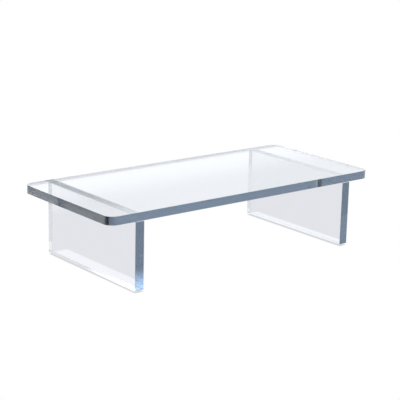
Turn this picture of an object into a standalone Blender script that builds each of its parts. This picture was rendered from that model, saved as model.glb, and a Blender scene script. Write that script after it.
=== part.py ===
"""Monitor riser of clear cast acrylic: one flat top carried by two end panels.

The top and the slightly thicker legs are cut from sheet, with polished edges. Each
leg stands on edge under the top, flush with its front and back, and is glued to it
by a thin line of cement. Four clear bumper feet sit under the legs.

The origin is on the ground at the centre of the footprint: X runs along the top,
-Y is the front, +Z is up. Lengths are in metres.
"""

import math

import bmesh
import bpy

# Driving dimensions
INCH = 0.0254  # the sheets are cut in inch fractions
TOP_WIDTH = 20 * INCH
TOP_DEPTH = 9 * INCH
TOP_SHEET = INCH / 2
LEG_SHEET = 0.015
LEG_HEIGHT = 4 * INCH
LEG_SETBACK = 1.75 * INCH  # from an end of the top to the outer face of its leg
CORNER_RADIUS = INCH * 5 / 8
ARRIS = 0.0004  # the small polished chamfer along every free edge
BOND_THICKNESS = 0.0002
BOND_MARGIN = 0.0005  # the cement stops this far inside the leg's own edges
FOOT_RADIUS = 0.00475
FOOT_HEIGHT = 0.0028
FOOT_TREAD_RADIUS = 0.0031  # the flat disc that meets the desk
FOOT_SHOULDER = 0.0009  # height of the straight rim under the leg
FOOT_FROM_END = INCH  # from a leg's front or back edge to its foot's centre
GAP = 0.0003  # clearance between pieces that touch

# Resolution of the round shapes
CORNER_STEPS = 12
FOOT_STEPS = 32
FOOT_CURVE_STEPS = 6
ARRIS_SEGMENTS = 2

# Heights worked out from the pieces, from the ground up
LEG_BOTTOM = FOOT_HEIGHT + GAP
LEG_TOP = LEG_BOTTOM + LEG_HEIGHT
BOND_BOTTOM = LEG_TOP + GAP
TOP_BOTTOM = BOND_BOTTOM + BOND_THICKNESS + GAP

LEG_X = TOP_WIDTH / 2 - LEG_SETBACK - LEG_SHEET / 2
FOOT_Y = TOP_DEPTH / 2 - FOOT_FROM_END

SIDES = {"left": -1, "right": 1}
ENDS = {"front": -1, "rear": 1}


def clear_scene():
    """Remove every object and the collections left from before."""
    for old in list(bpy.data.objects):
        bpy.data.objects.remove(old, do_unlink=True)
    for old in list(bpy.data.collections):
        bpy.data.collections.remove(old)


def make_material(name, colour, roughness, transmission, ior):
    """A Principled material for one kind of clear plastic."""
    material = bpy.data.materials.new(name)
    material.use_nodes = True
    shader = material.node_tree.nodes["Principled BSDF"]
    shader.inputs["Base Color"].default_value = (*colour, 1.0)
    shader.inputs["Roughness"].default_value = roughness
    shader.inputs["Metallic"].default_value = 0.0
    shader.inputs["Transmission Weight"].default_value = transmission
    shader.inputs["IOR"].default_value = ior
    material.diffuse_color = (*colour, 1.0)
    return material


def add_part(name, data, material, parent, location):
    """Link an object for one sub-part, dressed and placed under the stand's empty."""
    part = bpy.data.objects.new(name, data)
    if not data.materials:
        data.materials.append(material)
    parent.users_collection[0].objects.link(part)
    part.parent = parent
    part.location = location
    return part


def add_bevel(part):
    """Round every sharp edge of a part to the polished arris."""
    bevel = part.modifiers.new("arris", "BEVEL")
    bevel.width = ARRIS
    bevel.segments = ARRIS_SEGMENTS
    bevel.limit_method = "ANGLE"
    bevel.angle_limit = math.radians(40)


def rounded_rectangle(width, depth, radius):
    """Corner points of a rectangle with round corners, anticlockwise from +X."""
    points = []
    for quarter in range(4):
        start = quarter * math.pi / 2
        sign_x = 1 if quarter in (0, 3) else -1
        sign_y = 1 if quarter in (0, 1) else -1
        centre_x = sign_x * (width / 2 - radius)
        centre_y = sign_y * (depth / 2 - radius)
        for step in range(CORNER_STEPS + 1):
            angle = start + step / CORNER_STEPS * math.pi / 2
            x = centre_x + radius * math.cos(angle)
            y = centre_y + radius * math.sin(angle)
            points.append((x, y, 0.0))
    return points


def make_top(material, parent):
    """The flat top: an outline with round corners, extruded to the sheet's thickness."""
    outline = bpy.data.curves.new("top_plate", "CURVE")
    outline.dimensions = "2D"
    outline.fill_mode = "BOTH"
    outline.extrude = TOP_SHEET / 2
    points = rounded_rectangle(TOP_WIDTH, TOP_DEPTH, CORNER_RADIUS)
    spline = outline.splines.new("POLY")
    spline.points.add(len(points) - 1)
    for target, point in zip(spline.points, points):
        target.co = (*point, 1.0)
    spline.use_cyclic_u = True

    top = add_part("top_plate", outline, material, parent, (0, 0, TOP_BOTTOM + TOP_SHEET / 2))
    weld = top.modifiers.new("close_caps", "WELD")
    weld.merge_threshold = 0.00001
    add_bevel(top)


def make_box(name, size, arris_below=False):
    """A box mesh; with arris_below, all but its top edges take the polished arris."""
    mesh = bpy.data.meshes.new(name)
    shape = bmesh.new()
    bmesh.ops.create_cube(shape, size=1.0)
    bmesh.ops.scale(shape, vec=size, verts=shape.verts)
    if arris_below:
        top_z = size[2] / 2
        free_edges = [
            edge
            for edge in shape.edges
            if min(vertex.co.z for vertex in edge.verts) < top_z - ARRIS
        ]
        bmesh.ops.bevel(
            shape,
            geom=free_edges,
            offset=ARRIS,
            segments=ARRIS_SEGMENTS,
            profile=0.5,
            affect="EDGES",
        )
    shape.to_mesh(mesh)
    shape.free()
    return mesh


def foot_profile():
    """Half section of a bumper foot, from the top of its axis down the outer side.

    A straight shoulder meets the leg, and a quarter of an ellipse runs from it
    down to the flat tread.
    """
    points = [(0.0, FOOT_HEIGHT), (FOOT_RADIUS, FOOT_HEIGHT)]
    drop = FOOT_HEIGHT - FOOT_SHOULDER
    for step in range(FOOT_CURVE_STEPS + 1):
        angle = step / FOOT_CURVE_STEPS * math.pi / 2
        radius = FOOT_TREAD_RADIUS + (FOOT_RADIUS - FOOT_TREAD_RADIUS) * math.cos(angle)
        points.append((radius, drop * (1 - math.sin(angle))))
    points.append((0.0, 0.0))
    return points


def make_foot_mesh(material):
    """The open half section that the Screw modifier turns into a bumper foot."""
    points = [(x, 0.0, z) for x, z in foot_profile()]
    edges = [(index, index + 1) for index in range(len(points) - 1)]
    mesh = bpy.data.meshes.new("bumper_foot")
    mesh.from_pydata(points, edges, [])
    mesh.materials.append(material)
    return mesh


def make_foot(name, mesh, material, parent, location):
    """One bumper foot, turned from the shared half section."""
    foot = add_part(name, mesh, material, parent, location)
    screw = foot.modifiers.new("turn", "SCREW")
    screw.axis = "Z"
    screw.steps = FOOT_STEPS
    screw.render_steps = FOOT_STEPS
    screw.use_merge_vertices = True
    screw.merge_threshold = 0.00005
    screw.use_smooth_shade = True


def main():
    """Build the riser from its top, two legs, two bond lines and four feet."""
    clear_scene()
    collection = bpy.data.collections.new("monitor_riser")
    bpy.context.scene.collection.children.link(collection)
    stand = bpy.data.objects.new("monitor_riser_origin", None)
    collection.objects.link(stand)

    clear_acrylic = make_material("clear_cast_acrylic", (0.93, 0.95, 0.97), 0.02, 1.0, 1.49)
    cement = make_material("acrylic_cement", (0.78, 0.82, 0.88), 0.15, 0.6, 1.48)
    soft_clear = make_material("clear_polyurethane", (0.88, 0.89, 0.90), 0.25, 0.8, 1.50)

    make_top(clear_acrylic, stand)

    leg_mesh = make_box("end_leg", (LEG_SHEET, TOP_DEPTH, LEG_HEIGHT), arris_below=True)
    bond_size = (LEG_SHEET - 2 * BOND_MARGIN, TOP_DEPTH - 2 * BOND_MARGIN, BOND_THICKNESS)
    bond_mesh = make_box("bond_line", bond_size)
    foot_mesh = make_foot_mesh(soft_clear)
    for side, sign in SIDES.items():
        x = sign * LEG_X
        leg_place = (x, 0, LEG_BOTTOM + LEG_HEIGHT / 2)
        add_part(f"{side}_leg", leg_mesh, clear_acrylic, stand, leg_place)
        bond_place = (x, 0, BOND_BOTTOM + BOND_THICKNESS / 2)
        add_part(f"{side}_bond_line", bond_mesh, cement, stand, bond_place)
        for end, direction in ENDS.items():
            foot_place = (x, direction * FOOT_Y, 0)
            make_foot(f"{side}_{end}_foot", foot_mesh, soft_clear, stand, foot_place)


main()
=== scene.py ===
"""Looks of a clear acrylic monitor riser: cut sheets, cement lines, bumper feet, studio."""

import logging
import math
from collections.abc import Iterable
from dataclasses import dataclass
from enum import Enum

import bpy
import numpy as np
from mathutils import Matrix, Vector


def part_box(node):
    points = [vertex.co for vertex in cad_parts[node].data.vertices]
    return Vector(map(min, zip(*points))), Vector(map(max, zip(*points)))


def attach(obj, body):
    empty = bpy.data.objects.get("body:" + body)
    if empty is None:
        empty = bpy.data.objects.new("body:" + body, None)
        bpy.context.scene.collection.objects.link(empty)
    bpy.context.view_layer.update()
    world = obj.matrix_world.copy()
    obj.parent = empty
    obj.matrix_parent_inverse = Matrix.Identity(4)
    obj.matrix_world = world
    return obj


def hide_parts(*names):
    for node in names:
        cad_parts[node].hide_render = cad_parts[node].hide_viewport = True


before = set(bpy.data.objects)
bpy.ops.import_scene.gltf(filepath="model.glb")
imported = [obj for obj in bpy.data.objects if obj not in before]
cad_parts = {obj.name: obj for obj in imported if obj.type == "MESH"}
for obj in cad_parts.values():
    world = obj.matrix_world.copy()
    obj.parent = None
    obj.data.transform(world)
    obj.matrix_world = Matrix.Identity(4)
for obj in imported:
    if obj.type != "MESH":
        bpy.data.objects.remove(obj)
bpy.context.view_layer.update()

BODY = "root"
MM = 0.001
SIDES = ("left", "right")
Colour = tuple[float, float, float, float]
WHITE: Colour = (1.0, 1.0, 1.0, 1.0)

log = logging.getLogger("monitor_riser")


# ---------------------------------------------------------------- shapes


class Plane(Enum):
    """The plane that a sheet's outline lies in, as the axes of its u, v and thickness."""

    FLAT = (0, 1, 2)
    UPRIGHT = (1, 2, 0)


@dataclass
class Surface:
    """A closed grid of points: rows run along the profile, columns around the outline.

    The first and last rows close on a pole each. The shares are one number a grid point,
    from 0 to 1, which the finishes read as attributes of the same names.
    """

    points: np.ndarray
    shares: dict[str, np.ndarray]

    def faces(self) -> list[tuple[int, ...]]:
        """Quads between neighbouring rows and a fan of triangles at each pole.

        Returns:
            Vertex numbers of every face, wound to face outwards.
        """
        rows, columns = self.points.shape[:2]
        column = np.arange(columns)
        following = (column + 1) % columns
        row = np.arange(rows - 1)[:, None] * columns
        quads = np.stack(
            [row + column, row + following, row + columns + following, row + columns + column],
            axis=-1,
        ).reshape(-1, 4)
        first, last = rows * columns, rows * columns + 1
        low = np.stack([np.full(columns, first), following, column], axis=-1)
        top = (rows - 1) * columns
        high = np.stack([np.full(columns, last), top + column, top + following], axis=-1)
        return [tuple(face) for part in (quads, low, high) for face in part.tolist()]

    def mesh(self, name: str) -> bpy.types.Mesh:
        """A smooth mesh of the surface, with its shares as point attributes.

        Args:
            name: the mesh's name.

        Returns:
            The new mesh.
        """
        flat = self.points.reshape(-1, 3)
        poles = np.stack([self.points[0].mean(axis=0), self.points[-1].mean(axis=0)])
        mesh = bpy.data.meshes.new(name)
        mesh.from_pydata(np.vstack([flat, poles]).tolist(), [], self.faces())
        mesh.polygons.foreach_set("use_smooth", np.ones(len(mesh.polygons), dtype=bool))
        for label, share in self.shares.items():
            layer = mesh.attributes.new(label, "FLOAT", "POINT")
            values = np.append(share.ravel(), [share[0].mean(), share[-1].mean()])
            layer.data.foreach_set("value", values.astype(np.float32))
        mesh.update()
        return mesh


@dataclass(frozen=True)
class RoundedOutline:
    """A rectangle with round corners, as points and outward normals around its edge."""

    width: float
    depth: float
    radius: float
    steps: int = 24
    guard: float = 0.1 * MM

    def trace(self) -> tuple[np.ndarray, np.ndarray]:
        """Walk the four corner arcs anticlockwise.

        Each corner is centre + radius (cos t, sin t) for t over a quarter turn. A guard
        point a little way along the straight on each side of the arc keeps the flat
        edge's shading flat.

        Returns:
            Points and unit normals, each of shape (count, 2).
        """
        quarter = np.arange(4)[:, None] * math.pi / 2
        sweep = np.linspace(0.0, math.pi / 2, self.steps + 1)
        angle = quarter + np.concatenate([[0.0], sweep, [math.pi / 2]])[None, :]
        along = np.concatenate([[-self.guard], np.zeros(self.steps + 1), [self.guard]])[None, :]
        normal = np.stack([np.cos(angle), np.sin(angle)], axis=-1)
        tangent = np.stack([-np.sin(angle), np.cos(angle)], axis=-1)
        signs = np.array([(1, 1), (-1, 1), (-1, -1), (1, -1)])[:, None, :]
        half = np.array([self.width / 2 - self.radius, self.depth / 2 - self.radius])
        points = signs * half + self.radius * normal + along[..., None] * tangent
        return points.reshape(-1, 2), normal.reshape(-1, 2)


@dataclass(frozen=True)
class SheetProfile:
    """The section across a sheet's rim, from just inside one face's edge to the other's."""

    thickness: float
    arris: float
    arris_steps: int = 4
    guard: float = 0.05 * MM

    def rows(self) -> tuple[np.ndarray, np.ndarray, np.ndarray]:
        """Inset from the outline, height and edge share of each row.

        The arris is a quarter circle of the arris radius: inset a (1 - cos t) and height
        a (1 - sin t) from the face. Guard rows beside it keep both flats flat.

        Returns:
            Insets and heights in metres, and 1 on the rim, 0 on the faces.
        """
        turn = np.linspace(0.0, math.pi / 2, self.arris_steps + 1)
        inset = self.arris * (1 - np.cos(turn))[::-1]
        height = self.arris * (1 - np.sin(turn))[::-1]
        guard = min(self.guard, self.arris)
        low_inset = np.concatenate([[self.arris + guard], inset, [0.0]])
        low_height = np.concatenate([[0.0], height, [self.arris + guard]])
        low_edge = np.concatenate([[0.0, 0.0], np.ones(len(low_inset) - 2)])
        insets = np.concatenate([low_inset, low_inset[::-1]])
        heights = np.concatenate([low_height, self.thickness - low_height[::-1]])
        return insets, heights, np.concatenate([low_edge, low_edge[::-1]])


@dataclass(frozen=True)
class CutSheet:
    """A flat piece cut from clear sheet: an outline, a thickness and polished arrises."""

    outline: RoundedOutline
    profile: SheetProfile
    plane: Plane
    centre: np.ndarray
    cap_rings: tuple[float, ...] = (0.02, 0.35, 0.7)
    end_sharpness: int = 8

    def surface(self) -> Surface:
        """Carry the rim profile around the outline, then shrink rings towards each pole.

        A rim point is outline - inset * normal at its own height. A cap ring is the
        face's outline scaled towards the middle. The edge share is 1 all round the rim,
        and the end share is 1 where the rim faces along the outline's width: it is
        |normal along the width| ** sharpness, so it falls off quickly round a corner.

        Returns:
            The closed surface in the frame's own place.
        """
        path, normal = self.outline.trace()
        inset, height, edge = self.profile.rows()
        rim = path[None] - inset[:, None, None] * normal[None]
        rings = np.array(self.cap_rings)[:, None, None]
        flat = np.concatenate([rings * rim[:1], rim, rings[::-1] * rim[-1:]])
        count = len(self.cap_rings)
        level = np.concatenate([[height[0]] * count, height, [height[-1]] * count])
        share = np.concatenate([[0.0] * count, edge, [0.0] * count])
        rows, columns = flat.shape[:2]
        points = np.empty((rows, columns, 3))
        u, v, w = self.plane.value
        points[..., u] = flat[..., 0]
        points[..., v] = flat[..., 1]
        points[..., w] = level[:, None] - self.profile.thickness / 2
        ends = np.abs(normal[:, 0]) ** self.end_sharpness
        shares = {
            "edge": np.repeat(share[:, None], columns, axis=1),
            "end": share[:, None] * ends[None, :],
        }
        return Surface(points + self.centre, shares)


@dataclass(frozen=True)
class TurnedBumper:
    """A stick-on bumper foot, turned about its own upright axis."""

    radius: float
    tread: float
    height: float
    shoulder: float
    adhesive: float
    adhesive_inset: float = 0.15 * MM
    lip: float = 0.12 * MM
    tread_rings: tuple[float, float] = (0.5, 0.97)
    disc_ring: float = 0.5
    steps: int = 48
    curve_steps: int = 10

    def profile(self) -> tuple[np.ndarray, np.ndarray]:
        """Radius and height of each row, from the tread up to the adhesive disc.

        The dome is a quarter ellipse from the tread to the full radius: radius
        tread + (full - tread) sin t and height drop (1 - cos t). The lip is a quarter
        circle, and the adhesive disc is a little smaller than the bumper.

        Returns:
            Radii and heights in metres.
        """
        turn = np.linspace(0.0, math.pi / 2, self.curve_steps + 1)
        drop = self.height - self.shoulder
        dome_radius = self.tread + (self.radius - self.tread) * np.sin(turn)
        dome_height = drop * (1 - np.cos(turn))
        lip_radius = self.radius - self.lip * (1 - np.cos(turn))
        lip_height = self.height - self.lip * (1 - np.sin(turn))
        disc = self.radius - self.adhesive_inset
        top = self.height + self.adhesive
        tread_radius = [self.tread * ring for ring in self.tread_rings]
        disc_radius = [disc, disc, disc * self.disc_ring]
        disc_height = [self.height, top, top]
        radii = np.array([*tread_radius, *dome_radius, *lip_radius, *disc_radius])
        heights = np.array([0.0, 0.0, *dome_height, *lip_height, *disc_height])
        return radii, heights

    def surface(self, centre: np.ndarray) -> Surface:
        """Turn the profile: each row is (radius cos a, radius sin a) for a full turn of a.

        Args:
            centre: the middle of the tread.

        Returns:
            The closed surface, with an adhesive share of 1 on its upper side.
        """
        radius, height = self.profile()
        angle = np.arange(self.steps) * 2 * math.pi / self.steps
        points = np.stack(
            [
                radius[:, None] * np.cos(angle),
                radius[:, None] * np.sin(angle),
                np.repeat(height[:, None], self.steps, axis=1),
            ],
            axis=-1,
        )
        stuck = (height >= self.height).astype(float)
        shares = {"adhesive": np.repeat(stuck[:, None], self.steps, axis=1)}
        return Surface(points + centre, shares)


# ---------------------------------------------------------------- finishes


def linear(hex_colour: str) -> Colour:
    """Turn an sRGB hex colour to linear light.

    Args:
        hex_colour: six hex digits, such as "6F8296".

    Returns:
        Red, green, blue and an alpha of 1.
    """
    srgb = np.array([int(hex_colour[at : at + 2], 16) for at in (0, 2, 4)]) / 255
    light = np.where(srgb <= 0.04045, srgb / 12.92, ((srgb + 0.055) / 1.055) ** 2.4)
    return (*light.tolist(), 1.0)


def add_node(tree: bpy.types.NodeTree, kind: str, inputs: dict, **settings) -> bpy.types.Node:
    """Add one node with its settings, values and links.

    Args:
        tree: the node tree.
        kind: the node's type name.
        inputs: input name or number to a value, or to the socket that drives it.
        **settings: the node's own properties.

    Returns:
        The new node.
    """
    node = tree.nodes.new(kind)
    for name, value in settings.items():
        setattr(node, name, value)
    for key, value in inputs.items():
        if isinstance(value, bpy.types.NodeSocket):
            tree.links.new(value, node.inputs[key])
        else:
            node.inputs[key].default_value = value
    return node


def new_material(name: str) -> bpy.types.Material:
    """A material with an empty node tree."""
    material = bpy.data.materials.new(name)
    material.use_nodes = True
    material.node_tree.nodes.clear()
    return material


@dataclass(frozen=True)
class ClearCastAcrylic:
    """Clear cast acrylic (PMMA) sheet with flame polished edges.

    The faces are glass clear. A long way through the sheet the colour gathers, so the
    edges look slate blue and the ends, the longest way of all, look grey. The IOR is
    PMMA's own; the absorption and the edge tones are set by trial.
    """

    face: str = "F4F6F7"
    edge_outside: str = "C4D2E0"
    edge_inside: str = "788CA2"
    end_outside: str = "FBFBFB"
    end_inside: str = "F0F2F5"
    edge_clarity: float = 0.93
    ior: float = 1.49
    absorption: tuple[float, float, float] = (0.30, 0.34, 0.38)
    density: float = 3.4
    ripple_size: float = 9 * MM
    ripple_depth: float = 0.0005 * MM
    scuff_size: float = 14 * MM
    scuff_roughness: float = 0.012
    scuff_range: tuple[float, float] = (0.58, 0.75)

    def rim_colour(self, tree: bpy.types.NodeTree, edge: str, end: str) -> bpy.types.NodeSocket:
        """Colour of the rim, from its long edges round to its ends.

        Args:
            tree: the node tree.
            edge: hex colour of the long edges.
            end: hex colour of the ends.

        Returns:
            The colour socket.
        """
        where = add_node(tree, "ShaderNodeAttribute", {}, attribute_name="end").outputs["Fac"]
        return add_node(tree, "ShaderNodeMixRGB", {0: where, 1: linear(edge), 2: linear(end)}).outputs[0]

    def material(self) -> bpy.types.Material:
        """Build the node tree.

        Returns:
            The finished material.
        """
        material = new_material("clear_cast_acrylic")
        tree = material.node_tree
        edge = add_node(tree, "ShaderNodeAttribute", {}, attribute_name="edge").outputs["Fac"]
        place = add_node(tree, "ShaderNodeTexCoord", {}).outputs["Object"]
        inside = add_node(tree, "ShaderNodeNewGeometry", {}).outputs["Backfacing"]
        # The rim takes its slate tone on the way out, so what is seen inside it stays deep.
        rim = add_node(
            tree,
            "ShaderNodeMixRGB",
            {
                0: inside,
                1: self.rim_colour(tree, self.edge_outside, self.end_outside),
                2: self.rim_colour(tree, self.edge_inside, self.end_inside),
            },
        )
        tint = add_node(
            tree, "ShaderNodeMixRGB", {0: edge, 1: linear(self.face), 2: rim.outputs[0]}
        )
        # A flame polished edge loses a little of the light that turns back inside the sheet.
        inner_rim = add_node(tree, "ShaderNodeMath", {0: edge, 1: inside}, operation="MULTIPLY")
        clarity = add_node(
            tree,
            "ShaderNodeMapRange",
            {"Value": inner_rim.outputs[0], "To Min": 1.0, "To Max": self.edge_clarity},
        )
        # Handling leaves a faint patchy haze.
        scuff = add_node(
            tree, "ShaderNodeTexNoise", {"Vector": place, "Scale": 1 / self.scuff_size, "Detail": 4.0}
        )
        haze = add_node(
            tree,
            "ShaderNodeMapRange",
            {
                "Value": scuff.outputs["Fac"],
                "From Min": self.scuff_range[0],
                "From Max": self.scuff_range[1],
                "To Min": 0.0,
                "To Max": self.scuff_roughness,
            },
        )
        # The flame leaves a slow ripple along the edges, and none on the cast faces.
        ripple = add_node(
            tree, "ShaderNodeTexNoise", {"Vector": place, "Scale": 1 / self.ripple_size, "Detail": 1.0}
        )
        bump = add_node(
            tree,
            "ShaderNodeBump",
            {"Strength": edge, "Distance": self.ripple_depth, "Height": ripple.outputs["Fac"]},
        )
        shader = add_node(
            tree,
            "ShaderNodeBsdfPrincipled",
            {
                "Base Color": tint.outputs[0],
                "Roughness": haze.outputs[0],
                "IOR": self.ior,
                "Transmission Weight": clarity.outputs[0],
                "Normal": bump.outputs[0],
            },
        )
        volume = add_node(
            tree,
            "ShaderNodeVolumeAbsorption",
            {"Color": (*self.absorption, 1.0), "Density": self.density},
        )
        add_node(
            tree,
            "ShaderNodeOutputMaterial",
            {"Surface": shader.outputs[0], "Volume": volume.outputs[0]},
        )
        return material


@dataclass(frozen=True)
class SolventCement:
    """The set film of solvent cement under the top: clear, or frosted with a slate blue painted shade.

    Seen through the top, the film is the thin line that joins each leg to it. It has wetted
    both sheets, so it has almost no reflection of its own. The low IOR stands for that, and
    it isn't the cement's own, because a small air gap is left on either side of the film.
    """

    clear: str = "FBFCFD"
    frosted_painted_shade: str = "34507C"
    frost_clarity: float = 0.1
    frost_roughness: float = 0.5
    clear_roughness: float = 0.02
    ior: float = 1.04
    patch_size: float = 6 * MM
    patch_strength: float = 0.25
    patch_range: tuple[float, float] = (0.35, 0.65)

    def material(self) -> bpy.types.Material:
        """Build the node tree.

        Returns:
            The finished material.
        """
        material = new_material("solvent_cement")
        tree = material.node_tree
        frost_and_painted_shade = add_node(tree, "ShaderNodeAttribute", {}, attribute_name="frost_and_painted_shade").outputs["Fac"]
        place = add_node(tree, "ShaderNodeTexCoord", {}).outputs["Object"]
        # Slow patches break up the frost and its painted shade, as cement that has crept unevenly does.
        patch = add_node(
            tree, "ShaderNodeTexNoise", {"Vector": place, "Scale": 1 / self.patch_size, "Detail": 3.0}
        )
        uneven = add_node(
            tree,
            "ShaderNodeMapRange",
            {
                "Value": patch.outputs["Fac"],
                "From Min": self.patch_range[0],
                "From Max": self.patch_range[1],
                "To Min": 1.0 - self.patch_strength,
                "To Max": 1.0,
            },
        )
        amount = add_node(
            tree, "ShaderNodeMath", {0: frost_and_painted_shade, 1: uneven.outputs[0]}, operation="MULTIPLY"
        ).outputs[0]
        # The slate blue of the frost is painted shade, darkest at the back of the left film.
        tint = add_node(
            tree, "ShaderNodeMixRGB", {0: amount, 1: linear(self.clear), 2: linear(self.frosted_painted_shade)}
        )
        clarity = add_node(
            tree, "ShaderNodeMapRange", {"Value": amount, "To Min": 1.0, "To Max": self.frost_clarity}
        )
        roughness = add_node(
            tree,
            "ShaderNodeMapRange",
            {"Value": amount, "To Min": self.clear_roughness, "To Max": self.frost_roughness},
        )
        shader = add_node(
            tree,
            "ShaderNodeBsdfPrincipled",
            {
                "Base Color": tint.outputs[0],
                "Roughness": roughness.outputs[0],
                "IOR": self.ior,
                "Transmission Weight": clarity.outputs[0],
            },
        )
        add_node(tree, "ShaderNodeOutputMaterial", {"Surface": shader.outputs[0]})
        return material


@dataclass(frozen=True)
class ClearPolyurethane:
    """Soft clear polyurethane, cast into bumpers: satin, slightly milky and speckled with dust."""

    body: str = "E9EDF1"
    adhesive: str = "D9DDE2"
    dust: str = "B4B8BC"
    roughness: float = 0.22
    ior: float = 1.5
    clarity: float = 0.8
    speck_size: float = 0.35 * MM
    speck_range: tuple[float, float] = (0.62, 0.72)
    speck_strength: float = 0.6
    dusty_roughness: float = 0.44
    skin_size: float = 0.6 * MM
    skin_depth: float = 0.01 * MM

    def material(self) -> bpy.types.Material:
        """Build the node tree.

        Returns:
            The finished material.
        """
        material = new_material("clear_polyurethane")
        tree = material.node_tree
        stuck = add_node(tree, "ShaderNodeAttribute", {}, attribute_name="adhesive").outputs["Fac"]
        place = add_node(tree, "ShaderNodeTexCoord", {}).outputs["Object"]
        # Dust holds to the tacky skin in fine grey specks.
        speck = add_node(
            tree, "ShaderNodeTexNoise", {"Vector": place, "Scale": 1 / self.speck_size, "Detail": 2.0}
        )
        dusty = add_node(
            tree,
            "ShaderNodeMapRange",
            {
                "Value": speck.outputs["Fac"],
                "From Min": self.speck_range[0],
                "From Max": self.speck_range[1],
                "To Max": self.speck_strength,
            },
        )
        body = add_node(
            tree, "ShaderNodeMixRGB", {0: stuck, 1: linear(self.body), 2: linear(self.adhesive)}
        )
        tint = add_node(
            tree, "ShaderNodeMixRGB", {0: dusty.outputs[0], 1: body.outputs[0], 2: linear(self.dust)}
        )
        roughness = add_node(
            tree,
            "ShaderNodeMapRange",
            {"Value": dusty.outputs[0], "To Min": self.roughness, "To Max": self.dusty_roughness},
        )
        # The cast skin is very slightly pebbled, which softens its highlights.
        skin = add_node(
            tree, "ShaderNodeTexNoise", {"Vector": place, "Scale": 1 / self.skin_size, "Detail": 1.0}
        )
        bump = add_node(
            tree,
            "ShaderNodeBump",
            {"Strength": 1.0, "Distance": self.skin_depth, "Height": skin.outputs["Fac"]},
        )
        shader = add_node(
            tree,
            "ShaderNodeBsdfPrincipled",
            {
                "Base Color": tint.outputs[0],
                "Roughness": roughness.outputs[0],
                "IOR": self.ior,
                "Transmission Weight": self.clarity,
                "Normal": bump.outputs[0],
            },
        )
        add_node(tree, "ShaderNodeOutputMaterial", {"Surface": shader.outputs[0]})
        return material


# ---------------------------------------------------------------- the stand


def add_piece(
    name: str, surface: Surface, material: bpy.types.Material, nodes: Iterable[str]
) -> None:
    """Link a piece, dress it and let it stand for its CAD nodes.

    Args:
        name: the piece's name.
        surface: its shape, already in place.
        material: its finish.
        nodes: the CAD nodes that it stands for.
    """
    mesh = surface.mesh(name)
    mesh.materials.append(material)
    piece = bpy.data.objects.new(name, mesh)
    bpy.context.scene.collection.objects.link(piece)
    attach(piece, BODY)
    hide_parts(*nodes)
    log.info("%s: %d faces in %s", name, len(mesh.polygons), material.name)


def node_box(node: str) -> tuple[np.ndarray, np.ndarray]:
    """Centre and size of a CAD node at rest."""
    low, high = (np.array(corner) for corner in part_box(node))
    return (low + high) / 2, high - low


@dataclass
class ClearSheets:
    """The flat top and its two legs, all of clear sheet."""

    corner_radius: float = 15.875 * MM
    leg_corner: float = 0.3 * MM
    leg_corner_steps: int = 4
    top_arris: float = 0.4 * MM
    leg_arris: float = 0.2 * MM
    finish: ClearCastAcrylic = ClearCastAcrylic()

    def build(self) -> None:
        """Make the top and the legs."""
        material = self.finish.material()
        self.top(material)
        for side in SIDES:
            self.leg(side, material)

    def top(self, material: bpy.types.Material) -> None:
        """Make the top.

        Args:
            material: the sheet's finish.
        """
        centre, size = node_box("top_plate")
        sheet = CutSheet(
            RoundedOutline(size[0], size[1], self.corner_radius),
            SheetProfile(size[2], self.top_arris),
            Plane.FLAT,
            centre,
        )
        add_piece("flat_top", sheet.surface(), material, ["top_plate"])

    def leg(self, side: str, material: bpy.types.Material) -> None:
        """Make one leg, which stands on edge.

        Only its front and back edges take the tones of a polished edge. Its upper edge is
        wetted by the cement and its lower one is close above the desk, so both stay clear.

        Args:
            side: left or right.
            material: the sheet's finish.
        """
        centre, size = node_box(f"{side}_leg")
        sheet = CutSheet(
            RoundedOutline(size[1], size[2], self.leg_corner, steps=self.leg_corner_steps),
            SheetProfile(size[0], self.leg_arris),
            Plane.UPRIGHT,
            centre,
        )
        surface = sheet.surface()
        upright = surface.shares["end"]
        surface.shares = {"edge": upright, "end": np.zeros_like(upright)}
        add_piece(f"{side}_end_panel", surface, material, [f"{side}_leg"])


@dataclass
class CementLines:
    """The film of cement on top of each leg.

    The left film is frosted and carries a slate blue painted shade; both fade out from
    fade_back to fade_front, which are places along Y. The right film is clear.
    """

    corner_radius: float = 0.3 * MM
    corner_steps: int = 3
    arris: float = 0.05 * MM
    arris_steps: int = 2
    guard: float = 0.02 * MM
    strongest: tuple[float, float] = (1.0, 0.0)
    fade_front: float = -0.062
    fade_back: float = -0.015
    long_side: float = 0.05
    cuts: int = 24
    finish: SolventCement = SolventCement()

    def build(self) -> None:
        """Make both films. The fade is the smooth step 3 s^2 - 2 s^3 of the share s towards the back."""
        material = self.finish.material()
        for side, most in zip(SIDES, self.strongest):
            node = f"{side}_bond_line"
            centre, size = node_box(node)
            film = CutSheet(
                RoundedOutline(size[0], size[1], self.corner_radius, steps=self.corner_steps),
                SheetProfile(size[2], self.arris, self.arris_steps, self.guard),
                Plane.FLAT,
                centre,
            )
            surface = self.cut_across(film.surface())
            back = np.clip(
                (surface.points[..., 1] - self.fade_front) / (self.fade_back - self.fade_front), 0, 1
            )
            # Frost and painted shade are strongest at the back of the left film and fade out forwards.
            surface.shares = {"frost_and_painted_shade": most * back * back * (3 - 2 * back)}
            add_piece(f"{side}_cement_line", surface, material, [node])

    def cut_across(self, surface: Surface) -> Surface:
        """Add columns along the film's long sides, so that its frost can fade between them.

        Each long side's straight run is divided evenly: point a + (b - a) s.

        Args:
            surface: the film.

        Returns:
            The film with its new columns.
        """
        points = surface.points
        step = np.roll(points, -1, axis=1) - points
        longest = np.abs(step[0, :, 1]) > self.long_side
        share = np.linspace(0.0, 1.0, self.cuts + 1, endpoint=False)[None, :, None]
        parts = [
            points[:, [at]] + step[:, [at]] * share if longest[at] else points[:, [at]]
            for at in range(points.shape[1])
        ]
        return Surface(np.concatenate(parts, axis=1), {})


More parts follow.
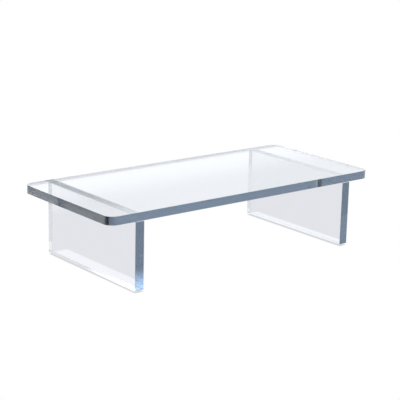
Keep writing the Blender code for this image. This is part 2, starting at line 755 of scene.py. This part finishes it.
@dataclass
class BumperFeet:
    """Four clear bumpers, stuck under the legs near their ends."""

    tread: float = 3.1 * MM
    shoulder: float = 0.9 * MM
    clearance: float = 0.02 * MM
    finish: ClearPolyurethane = ClearPolyurethane()

    def build(self) -> None:
        """Make the feet."""
        material = self.finish.material()
        for side in SIDES:
            leg_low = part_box(f"{side}_leg")[0][2]
            for end in ("front", "rear"):
                node = f"{side}_{end}_foot"
                centre, size = node_box(node)
                foot = TurnedBumper(
                    radius=size[0] / 2,
                    tread=self.tread,
                    height=size[2],
                    shoulder=self.shoulder,
                    adhesive=leg_low - size[2] - self.clearance,
                )
                place = centre - np.array([0.0, 0.0, size[2] / 2])
                add_piece(f"{side}_{end}_bumper", foot.surface(place), material, [node])


# ---------------------------------------------------------------- the studio


@dataclass
class Ramp:
    """A soft step from one level to another along one axis."""

    start: float
    stop: float
    low: float = 0.0
    high: float = 1.0

    def socket(self, tree: bpy.types.NodeTree, value: bpy.types.NodeSocket) -> bpy.types.NodeSocket:
        """Add the step to a tree.

        Args:
            tree: the node tree.
            value: what the step is taken along.

        Returns:
            The level's socket.
        """
        node = add_node(
            tree,
            "ShaderNodeMapRange",
            {
                "Value": value,
                "From Min": self.start,
                "From Max": self.stop,
                "To Min": self.low,
                "To Max": self.high,
            },
            interpolation_type="SMOOTHSTEP",
        )
        return node.outputs[0]


@dataclass
class Studio:
    """Camera, pale floor and soft light from all round.

    What the camera sees directly is white, but for a painted shade on the floor under each
    leg. The stand is lit by levels of their own, set by trial. The floor is darkest in front
    and brightest behind the stand, with a narrow strip of painted shade across it further
    back that is seen only through the sheets, and a bright patch beside each leg stands for
    the light that spills out of its lower edge.
    """

    camera_place: tuple[float, float, float] = (-1.2358, -1.5311, 0.6068)
    heading: float = 38.84
    downward: float = 14.976
    roll: float = 1.327
    lens: float = 117.0
    sensor: float = 36.0
    bounces: int = 40
    floor_half: float = 12.0
    floor_tint: str = "FBFBFF"
    floor_front: float = 0.66
    floor_middle: float = 0.905
    floor_behind: float = 1.15
    floor_dark_strip: float = 0.78
    front_to_middle: tuple[float, float] = (-0.150, -0.112)
    middle_to_behind: tuple[float, float] = (0.28, 0.44)
    dark_strip_near_edge: tuple[float, float] = (0.454, 0.459)
    dark_strip_far_edge: tuple[float, float] = (0.487, 0.492)
    spill_level: float = 1.10
    spill_widths: tuple[float, float] = (0.030, 0.020)
    spill_margins: tuple[float, float] = (0.002, 0.004)
    spill_softness: tuple[float, float] = (0.004, 0.008)
    contact_shade: float = 0.70
    contact_softness: tuple[float, float] = (0.004, 0.004)
    wall_tint: str = "F6F9FD"
    wall_front: float = 0.92
    wall_behind: float = 1.15
    wall_front_to_behind: tuple[float, float] = (-0.6, 0.5)
    wall_low_to_high: tuple[float, float] = (0.280, 0.292)
    soft_box: float = 3.9
    soft_box_colour: str = "EAF4FF"
    soft_box_lower_edge: tuple[float, float] = (0.308, 0.325)
    soft_box_upper_edge: tuple[float, float] = (0.350, 0.375)
    soft_box_spread: tuple[float, float] = (0.66, 0.75)

    def build(self) -> None:
        """Make all of it, and allow for the many turns that light takes inside clear sheet."""
        self.camera()
        self.floor()
        self.surround()
        scene = bpy.context.scene
        scene.view_settings.view_transform = "Standard"
        scene.cycles.max_bounces = self.bounces
        scene.cycles.transmission_bounces = self.bounces
        scene.cycles.glossy_bounces = self.bounces

    def camera(self) -> None:
        """Camera looking down on the stand from its front left."""
        data = bpy.data.cameras.new("camera")
        data.lens = self.lens
        data.sensor_width = self.sensor
        camera = bpy.data.objects.new("camera", data)
        bpy.context.scene.collection.objects.link(camera)
        turn = (
            Matrix.Rotation(-math.radians(self.heading), 4, "Z")
            @ Matrix.Rotation(math.radians(90 - self.downward), 4, "X")
            @ Matrix.Rotation(math.radians(self.roll), 4, "Z")
        )
        camera.matrix_world = Matrix.Translation(self.camera_place) @ turn
        bpy.context.scene.camera = camera

    def tinted(self, tint: str, level: float) -> Colour:
        """A level of light in a pale tint."""
        return (*(np.array(linear(tint)[:3]) * level).tolist(), 1.0)

    def lit_or_seen(
        self,
        tree: bpy.types.NodeTree,
        level: bpy.types.NodeSocket,
        seen: bpy.types.NodeSocket | Colour = WHITE,
    ) -> bpy.types.NodeSocket:
        """One colour where the camera sees it directly, and its own level for all other light.

        Args:
            tree: the node tree.
            level: the level that lights the stand.
            seen: the colour that the camera sees, white unless it is given.

        Returns:
            The colour's socket.
        """
        direct = add_node(tree, "ShaderNodeLightPath", {}).outputs["Is Camera Ray"]
        return add_node(tree, "ShaderNodeMixRGB", {0: direct, 1: level, 2: seen}).outputs[0]

    def patch(
        self,
        tree: bpy.types.NodeTree,
        axes: bpy.types.Node,
        along_x: tuple[float, float],
        along_y: tuple[float, float],
        softness: tuple[float, float],
    ) -> bpy.types.NodeSocket:
        """A soft-edged rectangle on the floor.

        Args:
            tree: the node tree.
            axes: the node that gives X and Y.
            along_x: the rectangle's lowest and highest X.
            along_y: its lowest and highest Y.
            softness: how wide its edges are along X and along Y.

        Returns:
            A socket of 1 inside and 0 outside.
        """
        inside = 1.0
        for axis, (low, high), soft in zip("XY", (along_x, along_y), softness):
            rise = Ramp(low - soft / 2, low + soft / 2)
            fall = Ramp(high - soft / 2, high + soft / 2, 1.0, 0.0)
            for step in (rise, fall):
                level = step.socket(tree, axes.outputs[axis])
                inside = add_node(
                    tree, "ShaderNodeMath", {0: inside, 1: level}, operation="MULTIPLY"
                ).outputs[0]
        return inside

    def floor(self) -> None:
        """A wide pale floor level with the feet."""
        half = self.floor_half
        mesh = bpy.data.meshes.new("studio_floor")
        corners = [(-half, -half, 0), (half, -half, 0), (half, half, 0), (-half, half, 0)]
        mesh.from_pydata(corners, [], [(0, 1, 2, 3)])
        material = new_material("studio_floor")
        tree = material.node_tree
        place = add_node(tree, "ShaderNodeTexCoord", {})
        axes = add_node(tree, "ShaderNodeSeparateXYZ", {0: place.outputs["Object"]})
        depth = axes.outputs["Y"]
        level = self.tinted(self.floor_tint, self.floor_front)
        tones = (
            (Ramp(*self.front_to_middle), self.floor_middle),
            (Ramp(*self.middle_to_behind), self.floor_behind),
            # A narrow strip of painted shade, seen only through the sheets, never directly.
            (Ramp(*self.dark_strip_near_edge), self.floor_dark_strip),
            (Ramp(*self.dark_strip_far_edge), self.floor_behind),
        )
        for step, tone in tones:
            level = add_node(
                tree,
                "ShaderNodeMixRGB",
                {0: step.socket(tree, depth), 1: level, 2: self.tinted(self.floor_tint, tone)},
            ).outputs[0]
        seen = WHITE
        beside, beyond = self.spill_margins
        for side, width in zip(SIDES, self.spill_widths):
            low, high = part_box(f"{side}_leg")
            along_x = (low[0], high[0])
            along_y = (low[1], high[1])
            contact = self.patch(tree, axes, along_x, along_y, self.contact_softness)
            seen = add_node(
                tree,
                "ShaderNodeMixRGB",
                {0: contact, 1: seen, 2: self.tinted(self.floor_tint, self.contact_shade)},
            ).outputs[0]
            along_x = (low[0] - beside, high[0] + width)
            along_y = (low[1] - beyond, high[1] + beyond)
            spill = self.patch(tree, axes, along_x, along_y, self.spill_softness)
            level = add_node(
                tree,
                "ShaderNodeMixRGB",
                {0: spill, 1: level, 2: self.tinted(self.floor_tint, self.spill_level)},
            ).outputs[0]
        glow = add_node(
            tree, "ShaderNodeEmission", {"Color": self.lit_or_seen(tree, level, seen), "Strength": 1.0}
        )
        add_node(tree, "ShaderNodeOutputMaterial", {"Surface": glow.outputs[0]})
        mesh.materials.append(material)
        floor = bpy.data.objects.new("studio_floor", mesh)
        bpy.context.scene.collection.objects.link(floor)

    def surround(self) -> None:
        """Soft light from all round, with one long soft box low behind the stand."""
        world = bpy.data.worlds.new("studio_surround")
        bpy.context.scene.world = world
        world.use_nodes = True
        tree = world.node_tree
        tree.nodes.clear()
        heading = add_node(tree, "ShaderNodeTexCoord", {}).outputs["Generated"]
        axes = add_node(tree, "ShaderNodeSeparateXYZ", {0: heading})
        wall = self.tinted(self.wall_tint, self.wall_front)
        steps = (
            (Ramp(*self.wall_front_to_behind), "Y", self.wall_behind),
            (Ramp(*self.wall_low_to_high), "Z", self.wall_front),
        )
        for step, axis, tone in steps:
            wall = add_node(
                tree,
                "ShaderNodeMixRGB",
                {
                    0: step.socket(tree, axes.outputs[axis]),
                    1: wall,
                    2: self.tinted(self.wall_tint, tone),
                },
            ).outputs[0]
        box = Ramp(*self.soft_box_spread).socket(tree, axes.outputs["Y"])
        for side in (Ramp(*self.soft_box_lower_edge), Ramp(*self.soft_box_upper_edge, 1.0, 0.0)):
            box = add_node(
                tree,
                "ShaderNodeMath",
                {0: box, 1: side.socket(tree, axes.outputs["Z"])},
                operation="MULTIPLY",
            ).outputs[0]
        bright = self.tinted(self.soft_box_colour, self.soft_box)
        level = add_node(tree, "ShaderNodeMixRGB", {0: box, 1: wall, 2: bright}).outputs[0]
        glow = add_node(
            tree, "ShaderNodeBackground", {"Color": self.lit_or_seen(tree, level), "Strength": 1.0}
        )
        add_node(tree, "ShaderNodeOutputWorld", {"Surface": glow.outputs[0]})


def main() -> None:
    logging.basicConfig(level=logging.INFO)
    for part in (ClearSheets(), CementLines(), BumperFeet(), Studio()):
        part.build()


if __name__ == "__main__":
    main()
